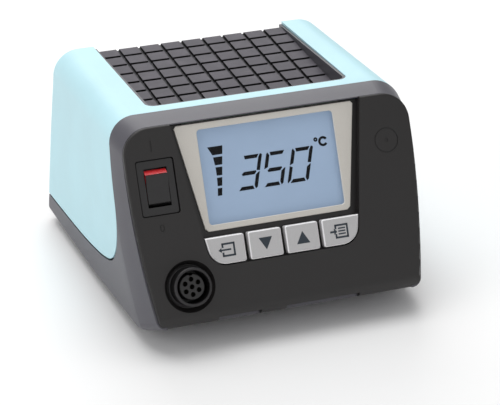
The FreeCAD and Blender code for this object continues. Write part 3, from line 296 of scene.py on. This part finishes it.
# %% Smoother blacks and greys
tray_finish = moulded("moulded_tray_grey", linear(72, 71, 76), 0.36, grain=0.0004, depth=0.00001)
black_finish = moulded("moulded_black", linear(28, 27, 28), 0.34, grain=0.0003, depth=0.000012)
rocker_black = moulded("rocker_black", linear(33, 32, 33), 0.4, grain=0.0003, depth=0.00001)
dress(tray_finish, "tray_insert")
dress(black_finish, "switch_frame", "mains_inlet", "fuse_drawer", "socket_insert", "beeper",
      "key_switches", "board_relay", "power_triac")
dress(rocker_black, "rocker_cap")

# %% [markdown]
# ## The rubber tile mat
#
# The mat is moulded silicone rubber. Its tiles are matt with pale dust and fine scratches from
# tools laid on them. The walls of the grooves are painted in shade, nearly black, and the groove
# floors in a lighter painted shade. All three follow from height alone, counted from the tile tops.

# %% Tile mat
def tile_rubber():
    """Rubber with dust patches and short scratches, and painted shade in the grooves by height."""
    finish = Finish("mat_rubber", Specular_IOR_Level=0.35)
    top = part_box("tile_mat")[1][2]
    height = finish.node("ShaderNodeSeparateXYZ", {}, {"Vector": finish.place}, result=2)
    on_top = height.step(top - 0.25 * MM, top - 0.02 * MM)
    wall_shade_mask = height.step(top - 1.48 * MM, top - 1.36 * MM)
    dust = finish.noise(0.012, 5.0, 0.65).step(0.4, 0.75)
    scratch = finish.noise(0.0006, 2.0, 0.5, stretch=(14, 1, 14)).step(0.66, 0.74)
    fine = finish.noise(0.0003, 2.0, 0.7)
    face = finish.mix(dust * 0.5 + scratch * 0.25, linear(79, 76, 83), linear(99, 95, 103))
    # Painted shade: the groove walls go nearly black and the groove floors darker than the tile tops.
    groove = finish.mix(wall_shade_mask, linear(58, 57, 61), linear(9, 9, 10))
    finish.feed(
        Base_Color=finish.mix(on_top, groove, face),
        Roughness=0.62 + (fine - 0.5) * 0.2 - scratch * 0.1,
    )
    finish.bump(fine * 0.7 - scratch * 0.3, 0.00003)
    return finish


dress(tile_rubber(), "tile_mat")

# %% [markdown]
# ## Painted keys and bezel
#
# Keys and bezel are plastic with a silver paint: fine metal flakes give it a soft, slightly
# grainy shine. Scattered cells stand for the flakes, and their brightness and gloss vary. The rims
# just under their fronts get a painted highlight.

# %% Silver paint
FLAKE_SIZE = 0.00012


def silver_paint(name, colour, rough, front, rim_highlight, metallic=0.35):
    """Paint with metal flakes in cells of their own brightness, with a painted highlight on the rims."""
    finish = Finish(name, Metallic=metallic, Coat_Weight=0.15, Coat_Roughness=0.25)
    values = {"Vector": finish.place, "Scale": 1 / FLAKE_SIZE}
    flakes = finish.node("ShaderNodeTexVoronoi", {}, values, result=1)
    bright = finish.node("ShaderNodeSeparateColor", {}, {"Color": flakes})
    soft = finish.noise(0.02, 3.0)
    on_front = finish.along(OUT).step(front - 0.12 * MM, front - 0.01 * MM)
    paint = finish.mix(bright * 0.6 + soft * 0.4, shade(colour, 0.9), shade(colour, 1.1))
    # Painted highlight: the rims just under the front are lighter than the paint.
    finish.feed(
        Base_Color=finish.mix(on_front, shade(colour, rim_highlight), paint),
        Roughness=rough + (bright - 0.5) * 0.12 + (soft - 0.5) * 0.08,
    )
    finish.bump(bright, 0.000004)
    return finish


BEZEL_TOP = extent("display_bezel", OUT)[1]
dress(silver_paint("key_silver", linear(184, 183, 184), 0.38, KEY_TOP, 1.75),
      "key_exit", "key_down", "key_up", "key_menu")
dress(silver_paint("bezel_silver", linear(205, 201, 194), 0.42, BEZEL_TOP, 1.15), "display_bezel")

# %% [markdown]
# ## The display
#
# A liquid crystal display of this kind has a pale blue back light that comes through evenly,
# with a slightly darker rim. Its front is a diffusing film, so it hardly reflects. A clear window
# covers it.

# %% Display glass and window
def display_film():
    """Blue film that glows a little, with a faint cloudy drift in its tone."""
    finish = Finish("display_film", Roughness=0.5, Specular_IOR_Level=0.2, Emission_Strength=0.45)
    wide = finish.noise(0.03, 2.0)
    grain = finish.noise(0.0002, 1.0)
    drift = wide * 0.7 + grain * 0.3
    glow = finish.mix(drift, linear(144, 166, 194), linear(156, 178, 206))
    film = finish.mix(drift, linear(131, 148, 169), linear(137, 154, 175))
    finish.feed(Base_Color=film, Emission_Color=glow)
    finish.bump(grain, 0.000003)
    return finish


def clear_window(name):
    """Clear plastic that lets the light through and keeps a faint gloss with fine smears."""
    finish = Finish(name, IOR=1.49, Base_Color=(0.01, 0.012, 0.015, 1.0))
    smear = finish.noise(0.02, 5.0, 0.6)
    finish.feed(Roughness=0.08 + smear * 0.12, Alpha=0.02 + smear * 0.03)
    finish.material.surface_render_method = "BLENDED"
    return finish


dress(display_film(), "lcd_glass")
dress(clear_window("clear_window"), "display_window", "fuse_links")

# %% [markdown]
# ## Metals, boards and the rest inside
#
# Behind the vents and under the cover are plated steel, copper wire, circuit boards and black
# heat sinks. They are made as plain as they are on the real thing, with brushed, wound or woven
# grain at the right scale.

# %% Metals
def metal(name, colour, rough, stretch=(1, 1, 1), size=0.0004, depth=0.000006):
    """Metal whose brushing runs along the axis with the longest stretch."""
    finish = Finish(name, Metallic=1.0)
    brush = finish.noise(size, 3.0, 0.6, stretch)
    dull = finish.noise(0.01, 4.0)
    finish.feed(
        Base_Color=finish.mix(dull.step(0.3, 0.7), shade(colour, 0.88), shade(colour, 1.05)),
        Roughness=rough + (brush - 0.5) * 0.16 + (dull - 0.5) * 0.14,
    )
    finish.bump(brush, depth)
    return finish


dress(metal("black_nickel", linear(66, 65, 66), 0.45), "socket_shell")
dress(metal("bright_nickel", linear(205, 202, 196), 0.25), "socket_nut", "bonding_jack", "bonding_nut")
dress(metal("tinned_brass", linear(200, 190, 160), 0.3), "inlet_pins", "switch_terminals")
dress(metal("dull_contacts", linear(74, 70, 62), 0.5), "socket_contacts")
dress(metal("zinc_steel", linear(176, 178, 182), 0.35, (1, 1, 8)), "panel_screws", "display_board_screws",
      "rear_panel_screws", "main_board_screws", "transformer_screws", "cover_screws",
      "transformer_bracket")
dress(metal("laminated_steel", linear(120, 118, 116), 0.45, (1, 40, 40), 0.0005, 0.00005),
      "transformer_core")
dress(metal("copper_wire", linear(196, 120, 70), 0.35, (1, 40, 40), 0.0006, 0.0002), "transformer_winding")
dress(metal("black_anodised", linear(44, 44, 46), 0.45, (1, 1, 20)), "heat_sink")

# %% Boards, white plastics, feet, label and cable
def circuit_board():
    """Green lacquer over copper tracks: cells in a square pattern lift and lighten the lacquer."""
    finish = Finish("circuit_board", Coat_Weight=0.3, Coat_Roughness=0.15)
    values = {"Vector": finish.place, "Scale": 400.0}
    tracks = finish.node("ShaderNodeTexVoronoi", {"distance": "MANHATTAN"}, values)
    line = tracks.step(0.28, 0.34)
    finish.feed(
        Base_Color=finish.mix(line, linear(30, 92, 52), linear(44, 122, 66)),
        Roughness=0.4 + finish.noise(0.004) * 0.15,
    )
    finish.bump(line, 0.00003)
    return finish


dress(circuit_board(), "main_board", "display_board", "socket_board")
dress(moulded("milky_plastic", linear(222, 221, 214), 0.4),
      "lcd_backlight", "lcd_holder", "board_connectors")
dress(moulded("capacitor_sleeve", linear(36, 40, 62), 0.3), "capacitors")
dress(moulded("foot_rubber", linear(40, 40, 41), 0.7, grain=0.0006, depth=0.00005), "rubber_feet")
dress(moulded("label_film", linear(176, 176, 178), 0.35, tone=0.02), "rating_plate")


def ribbon_grey():
    """Flat cable: round wires side by side, one pitch apart, as a wave across it, with painted shade
    between.
    """
    finish = Finish("ribbon_grey")
    values = {"Vector": finish.place, "Scale": 250.0}
    wave = finish.node("ShaderNodeTexWave", {"bands_direction": "X"}, values)
    # Painted shade: the colour follows the wave, lighter on the wires and darker in the valleys between
    # them.
    finish.feed(Base_Color=finish.mix(wave, linear(120, 120, 122), linear(170, 170, 172)),
                Roughness=0.45 + wave * 0.1)
    finish.bump(wave, 0.0003)
    return finish


dress(ribbon_grey(), "ribbon_cable")


def red_lens():
    """Glossy red plastic with faint depth and a few scuffs."""
    finish = Finish("rocker_red", Coat_Weight=0.4, Coat_Roughness=0.1, Subsurface_Weight=0.1)
    scuff = finish.noise(0.001, 4.0, 0.6, (8, 1, 1)).step(0.6, 0.75)
    finish.feed(Base_Color=finish.mix(scuff * 0.3, linear(214, 44, 50), linear(226, 96, 96)),
                Roughness=0.26 + scuff * 0.2)
    finish.bump(scuff, 0.00001)
    return finish


dress(red_lens(), "switch_rocker")

# %% [markdown]
# ## Printed symbols
#
# Figures in the display and symbols on the keys are flat shapes: the liquid crystal's segments
# lie in the glass, and the keys are printed. Each shape is cut into convex pieces, and every
# piece becomes a thin closed slab a few hundredths of a millimetre high, so it needs no image.

# %% Thin slabs from convex outlines
def slabs(name, outlines, level, thick, finish, body):
    """Makes one mesh of prisms: each convex outline at two levels, with a lid, a base and sides."""
    points, faces, start = [], [], 0
    for outline in outlines:
        flat = np.asarray(outline, dtype=float)
        count = len(flat)
        turn = np.roll(flat, -1, axis=0)
        if np.sum(flat[:, 0] * turn[:, 1] - turn[:, 0] * flat[:, 1]) < 0:
            flat = flat[::-1]
        points.append(on_face(flat[:, 0], flat[:, 1], level))
        points.append(on_face(flat[:, 0], flat[:, 1], level + thick))
        low = np.arange(start, start + count)
        high = low + count
        faces.append(low[::-1].tolist())
        faces.append(high.tolist())
        sides = np.stack([low, np.roll(low, -1), np.roll(high, -1), high], axis=1)
        faces.extend(sides.tolist())
        start += 2 * count
    mesh = bpy.data.meshes.new(name)
    mesh.from_pydata(np.concatenate(points).tolist(), [], faces)
    mesh.materials.append(finish.material)
    piece = bpy.data.objects.new(name, mesh)
    bpy.context.collection.objects.link(piece)
    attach(piece, body)
    print(name, len(outlines), "pieces on", body)
    return piece


def stroke(path, width):
    """Splits a polyline into rectangles of one width, each reaching half a width past its ends."""
    path = np.asarray(path, dtype=float)
    start, end = path[:-1], path[1:]
    along = (end - start) / np.linalg.norm(end - start, axis=1, keepdims=True)
    side = np.stack([-along[:, 1], along[:, 0]], axis=1) * width / 2
    start, end = start - along * width / 2, end + along * width / 2
    return list(np.stack([start - side, end - side, end + side, start + side], axis=1))


def ring_band(x, y, radius, width, first=0.0, last=360.0, count=24):
    """Splits a circular band into quadrilaterals between an inner and an outer circle."""
    angle = np.radians(np.linspace(first, last, count + 1))
    inner = np.stack([np.cos(angle), np.sin(angle)], axis=1) * (radius - width / 2) + [x, y]
    outer = np.stack([np.cos(angle), np.sin(angle)], axis=1) * (radius + width / 2) + [x, y]
    return list(np.stack([inner[:-1], outer[:-1], outer[1:], inner[1:]], axis=1))


# %% [markdown]
# ## Figures in the display
#
# A seven-segment figure has seven bars with pointed ends in a slanted cell. Numbers of a setting
# are generic, and so is the sign for degrees Celsius. The bars on the left show the heating power
# and widen upwards like a horn.

# %% Segments
INK = Finish("display_ink", Specular_IOR_Level=0.15)
ink_grain = INK.noise(0.0004, 2.0)
INK.feed(Base_Color=INK.mix(ink_grain, linear(3, 4, 8), linear(7, 8, 14)),
         Roughness=0.3 + ink_grain * 0.15)

SEGMENTS = {
    "top": [(1.5, 15.0), (8.3, 15.0), (7.65, 13.4), (2.15, 13.4)],
    "upper_right": [(8.8, 15.0), (9.5, 15.0), (9.95, 14.4), (9.95, 7.8), (8.35, 8.05), (8.35, 13.6)],
    "lower_right": [(9.95, 7.3), (9.5, 7.3), (8.3, 6.2), (8.3, 1.6), (9.2, 0.1), (9.95, 0.8)],
    "bottom": [(1.4, 0.0), (2.4, 1.6), (7.6, 1.6), (8.5, 0.2), (8.4, 0.0)],
    "lower_left": [(0.0, 7.5), (1.5, 6.8), (1.5, 1.5), (0.4, 0.05), (0.0, 0.6)],
    "upper_left": [(0.4, 15.0), (1.6, 13.6), (1.6, 8.5), (0.0, 7.8), (0.0, 14.2)],
    "centre": [(1.6, 7.0), (2.5, 8.0), (8.0, 8.0), (8.4, 7.5), (7.7, 6.35), (2.2, 6.35)],
}
FIGURES = {
    "3": ("top", "upper_right", "centre", "lower_right", "bottom"),
    "5": ("top", "upper_left", "centre", "lower_right", "bottom"),
    "0": ("top", "upper_right", "lower_right", "bottom", "lower_left", "upper_left"),
}


def figure(sign, left, low, slant=0.287):
    """The bars of one figure, moved to its place and slanted."""
    bars = []
    for name in FIGURES[sign]:
        bar = np.array(SEGMENTS[name], dtype=float)
        bar[:, 0] += left + bar[:, 1] * slant
        bar[:, 1] += low
        bars.append(bar)
    return bars


def horn(top, low, rows=5):
    """One step of the power bar: a strip whose left edge swings outwards towards the top."""
    level = np.linspace(top, low, rows)
    lean = 0.15 * (level - 12.7)
    left = np.interp(level, [-8.9, -4.7, -0.2, 3.5, 6.2, 8.9, 10.8, 12.7],
                     [-21.9, -22.0, -22.4, -23.0, -23.7, -24.4, -25.6, -26.9]) + lean
    right = -19.9 + lean
    return [np.array([(left[k], level[k]), (left[k + 1], level[k + 1]),
                      (right[k + 1], level[k + 1]), (right[k], level[k])]) for k in range(rows - 1)]


display = []
for sign, left in (("3", -16.65), ("5", -4.7), ("0", 7.25)):
    display += figure(sign, left, -8.3)
for top, low in ((12.7, 9.0), (8.0, 4.5), (3.55, -0.1), (-1.05, -4.65), (-5.6, -8.9)):
    display += horn(top, low)
display += ring_band(22.95, 9.1, 0.62, 0.75, count=12)
display += ring_band(26.35, 7.9, 1.7, 1.1, 30, 327, count=16)
slabs("display_figures", display, LCD_TOP + 0.02 * MM, 0.04 * MM, INK, "station")

# %% [markdown]
# ## Symbols on the keys
#
# From left to right: leave (an arrow out of an open frame), down, up, and menu (an arrow into a
# list). They are printed in dark grey.

# %% Key symbols
PRINT = Finish("key_print", Specular_IOR_Level=0.3)
print_grain = PRINT.noise(0.0003, 2.0)
PRINT.feed(Base_Color=PRINT.mix(print_grain, linear(44, 52, 60), linear(56, 64, 72)),
           Roughness=0.5 + print_grain * 0.1)


def key_centre(name):
    """The middle of a key's front, in millimetres across and up the face."""
    return tuple((sum(extent(name, axis)) / 2 - FACE @ axis) / MM for axis in (ACROSS, UP))


def frame_open_left(x, y, half, width=0.85):
    """A square outline whose left side is open in the middle."""
    path = [(x - half, y + half * 0.55), (x - half, y + half), (x + half, y + half),
            (x + half, y - half), (x - half, y - half), (x - half, y - half * 0.55)]
    return stroke(path, width)


def triangle(x, y, half, rise, way):
    """A triangle that points up for way 1 and down for way -1."""
    base, tip = y - way * rise / 2, y + way * rise / 2
    return [np.array([(x - half, base), (x + half, base), (x, tip)])]


for name, way in (("down", -1), ("up", 1)):
    x, y = key_centre("key_" + name)
    slabs(f"symbol_{name}", triangle(x, y, 3.1, 5.5, way), KEY_TOP, 0.03 * MM, PRINT, "key_" + name)

x, y = key_centre("key_exit")
leave = frame_open_left(x + 1.1, y, 2.6) + stroke([(x - 1.9, y), (x + 1.9, y)], 0.75)
leave += [np.array([(x - 3.6, y), (x - 2.1, y - 1.1), (x - 2.1, y + 1.1)])]
slabs("symbol_exit", leave, KEY_TOP, 0.03 * MM, PRINT, "key_exit")

x, y = key_centre("key_menu")
menu = frame_open_left(x - 0.15, y, 2.7) + stroke([(x - 5.1, y), (x - 3.6, y)], 0.9)
menu += [np.array([(x - 2.2, y), (x - 3.7, y + 1.5), (x - 3.7, y - 1.5)])]
for row in (-1.2, 0.05, 1.3):
    menu += stroke([(x - 1.4, y + row), (x + 1.3, y + row)], 0.65)
slabs("symbol_menu", menu, KEY_TOP, 0.03 * MM, PRINT, "key_menu")

# %% [markdown]
# ## Floor, light and camera
#
# A pale floor, four large soft lights and a pale sky give the even light of a product picture.
# The camera stands left of the front and above it, far away with a long lens, so the sides stay
# nearly parallel.

# %% Floor
def plane_patch(name, half, finish):
    """A flat square of four corners on the ground."""
    mesh = bpy.data.meshes.new(name)
    corners = [(-half, -half, 0), (half, -half, 0), (half, half, 0), (-half, half, 0)]
    mesh.from_pydata(corners, [], [(0, 1, 2, 3)])
    mesh.materials.append(finish.material)
    patch = bpy.data.objects.new(name, mesh)
    bpy.context.collection.objects.link(patch)
    return patch


floor_finish = Finish("pale_floor", Base_Color=(0.98, 0.98, 0.98, 1.0), Roughness=0.6,
                      Specular_IOR_Level=0.2)
plane_patch("floor", 6.0, floor_finish)

# %% Lights
def soft_light(name, place, aim, size, power, colour=(1.0, 1.0, 1.0)):
    """A square area light that faces a point."""
    light = bpy.data.lights.new(name, "AREA")
    light.size = size
    light.energy = power
    light.color = colour
    lamp = bpy.data.objects.new(name, light)
    lamp.location = place
    lamp.rotation_euler = (Vector(aim) - Vector(place)).to_track_quat("-Z", "Y").to_euler()
    bpy.context.collection.objects.link(lamp)


soft_light("above", (-0.1, 0.2, 1.3), (0, 0, 0.05), 1.2, 10.0)
soft_light("behind", (0.2, 1.3, 0.9), (0, 0, 0.08), 1.0, 7.0)
soft_light("left", (-1.3, -0.5, 0.7), (0, 0, 0.05), 1.0, 4.2)
soft_light("front", (0.3, -1.6, 0.6), (0, 0, 0.05), 1.0, 2.0)
world = bpy.data.worlds.new("pale_room")
world.use_nodes = True
world.node_tree.nodes["Background"].inputs["Color"].default_value = (1.0, 1.0, 1.0, 1.0)
world.node_tree.nodes["Background"].inputs["Strength"].default_value = 0.42
bpy.context.scene.world = world
bpy.context.scene.view_settings.view_transform = "Standard"

# %% Camera
TURN, TILT, ROLL = math.radians(-19.0), math.radians(26.8), math.radians(-0.2)
camera = bpy.data.objects.new("camera", bpy.data.cameras.new("camera"))
camera.data.sensor_width = 36.0
camera.data.lens = 159.05
camera.data.clip_start, camera.data.clip_end = 0.05, 50.0
forward = Vector((-math.sin(TURN) * math.cos(TILT), math.cos(TURN) * math.cos(TILT), -math.sin(TILT)))
camera.matrix_world = (
    Matrix.Translation((-0.2924, -0.8658, 0.4928))
    @ forward.to_track_quat("-Z", "Y").to_matrix().to_4x4()
    @ Matrix.Rotation(ROLL, 4, "Z")
)
bpy.context.collection.objects.link(camera)
bpy.context.scene.camera = camera
